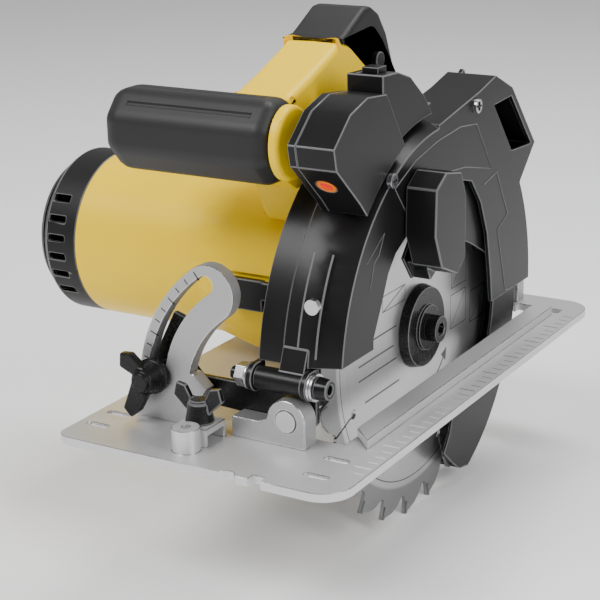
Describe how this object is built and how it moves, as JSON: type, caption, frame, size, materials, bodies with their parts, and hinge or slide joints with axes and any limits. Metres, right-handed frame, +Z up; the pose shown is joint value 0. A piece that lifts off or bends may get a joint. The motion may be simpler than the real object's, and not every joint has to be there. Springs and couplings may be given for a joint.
{
  "type": "circular saw",
  "caption": "Hand-held circular saw: blade in a black guard with swinging lower guard and line laser, yellow motor housing and handles, on a slotted aluminium base plate with bevel quadrant.",
  "frame": {"origin": "middle of the base plate's rectangle, on its underside", "axes": "+Z up, the front of the saw faces -Y (it cuts towards -Y), the blade is on the +X side and the motor on the -X side"},
  "size_m": [0.2325, 0.281, 0.244],
  "materials": {
    "plate_aluminium": "fine brushed satin",
    "black_steel": "gloss black oxide",
    "zinc_steel": "bright zinc",
    "blade_steel": "ground steel",
    "carbide": "ground",
    "black_plastic": "satin black",
    "gear_case_aluminium": "painted casting",
    "yellow_plastic": "satin yellow",
    "black_rubber": "matt",
    "laser_barrel_brass": "turned",
    "orange_plastic": "gloss",
    "red_glass": "clear",
    "iron_core": "laminated",
    "copper": "turned",
    "carbon": "pressed"
  },
  "bodies": {
    "base": {"base_plate": "plate_aluminium", "front_lug": "plate_aluminium", "rear_lug": "plate_aluminium", "tilt_pins": "zinc_steel", "bevel_quadrant": "plate_aluminium"},
    "fence_clamp": {"fence_wing_screw": "black_steel"},
    "tilt_frame": {"front_tilt_bracket": "black_steel", "depth_arc": "black_steel", "depth_pivot_bolt": "black_steel", "depth_pivot_washers": "zinc_steel", "depth_pivot_nut": "zinc_steel"},
    "bevel_clamp": {"bevel_wing_bolt": "black_steel"},
    "head": {"upper_guard": "black_plastic", "guard_screws": "zinc_steel", "laser_housing_inner": "black_plastic", "laser_housing_outer": "black_plastic", "laser_module": "laser_barrel_brass", "laser_lens_ring": "orange_plastic", "laser_lens": "red_glass", "laser_switch_case": "black_plastic", "gear_case": "gear_case_aluminium", "gear_case_screws": "zinc_steel", "spindle_bearings": "zinc_steel", "motor_housing": "yellow_plastic", "motor_cap": "black_plastic", "stator": "iron_core", "motor_bearings": "zinc_steel", "brush_holders": "black_plastic", "carbon_brushes": "carbon", "handle_left_shell": "yellow_plastic", "handle_right_shell": "yellow_plastic", "soft_grip": "black_rubber", "handle_screws": "zinc_steel", "power_switch": "black_plastic", "cable_gland": "black_plastic", "front_handle_core": "yellow_plastic", "front_handle_grip": "black_rubber", "depth_lock_bolt": "zinc_steel"},
    "laser_switch": {"laser_switch_slide": "black_plastic"},
    "blade_spindle": {"spindle": "zinc_steel", "spindle_gear": "zinc_steel", "inner_flange": "black_steel", "outer_flange": "black_steel", "saw_blade": "blade_steel", "carbide_tips": "carbide", "blade_bolt": "black_steel"},
    "armature": {"armature_shaft": "zinc_steel", "motor_pinion": "zinc_steel", "rotor_core": "iron_core", "commutator": "copper", "cooling_fan": "black_plastic"},
    "swing_guard": {"lower_guard": "black_plastic", "lower_guard_lever": "black_plastic"},
    "switch_trigger": {"trigger": "black_plastic"},
    "lock_off": {"lock_off_button": "black_plastic"},
    "spindle_lock": {"spindle_lock_button": "black_plastic"},
    "depth_clamp": {"depth_lock_lever": "black_plastic"}
  },
  "joints": [
    {"name": "bevel_tilt", "type": "hinge", "parent": "base", "child": "tilt_frame", "pos_m": [0.0265, -0.093, 0.0157], "axis": [0, 1, 0], "range_deg": [0, 45]},
    {"name": "cutting_depth", "type": "hinge", "parent": "tilt_frame", "child": "head", "pos_m": [0.0265, -0.098, 0.031], "axis": [1, 0, 0], "range_deg": [0, 32]},
    {"name": "fence_screw_turn", "type": "hinge", "parent": "base", "child": "fence_clamp", "pos_m": [-0.0115, -0.114, 0.018], "axis": [0, 0, 1], "range_deg": [-35, 35]},
    {"name": "bevel_bolt_turn", "type": "hinge", "parent": "tilt_frame", "child": "bevel_clamp", "pos_m": [-0.04075, -0.11, 0.02575], "axis": [0, 1, 0], "range_deg": [-45, 45]},
    {"name": "depth_lever_turn", "type": "hinge", "parent": "head", "child": "depth_clamp", "pos_m": [0.012, 0.10537, 0.01499], "axis": [1, 0, 0], "range_deg": [-40, 0]},
    {"name": "laser_switch_slide", "type": "slide", "parent": "head", "child": "laser_switch", "axis": [0, 1, 0], "range_m": [-0.0035, 0.0035]},
    {"name": "blade_spin", "type": "hinge", "parent": "head", "child": "blade_spindle", "pos_m": [0.0323, 0.007, 0.0264], "axis": [1, 0, 0], "continuous": true},
    {"name": "armature_spin", "type": "hinge", "parent": "head", "child": "armature", "pos_m": [-0.08, 0.00067, 0.0538], "axis": [1, 0, 0], "continuous": true},
    {"name": "lower_guard_swing", "type": "hinge", "parent": "head", "child": "swing_guard", "pos_m": [0.0237, 0.007, 0.0264], "axis": [1, 0, 0], "range_deg": [-97, 36], "stiffness_Nm_per_rad": 0.06, "springref_deg": -108.86},
    {"name": "trigger_press", "type": "slide", "parent": "head", "child": "switch_trigger", "axis": [0, 0.8412, 0.5408], "range_m": [0, 0.004], "stiffness_N_per_m": 400, "springref_m": -0.002},
    {"name": "lock_off_press", "type": "slide", "parent": "head", "child": "lock_off", "axis": [-1, 0, 0], "range_m": [0, 0.002], "stiffness_N_per_m": 300, "springref_m": -0.001},
    {"name": "spindle_lock_press", "type": "slide", "parent": "head", "child": "spindle_lock", "axis": [0, 1, 0], "range_m": [0, 0.0025], "stiffness_N_per_m": 400, "springref_m": -0.001}
  ],
  "couplings": [
    {"joint": "armature_spin", "follows": "blade_spin", "ratio": -4}
  ]
}
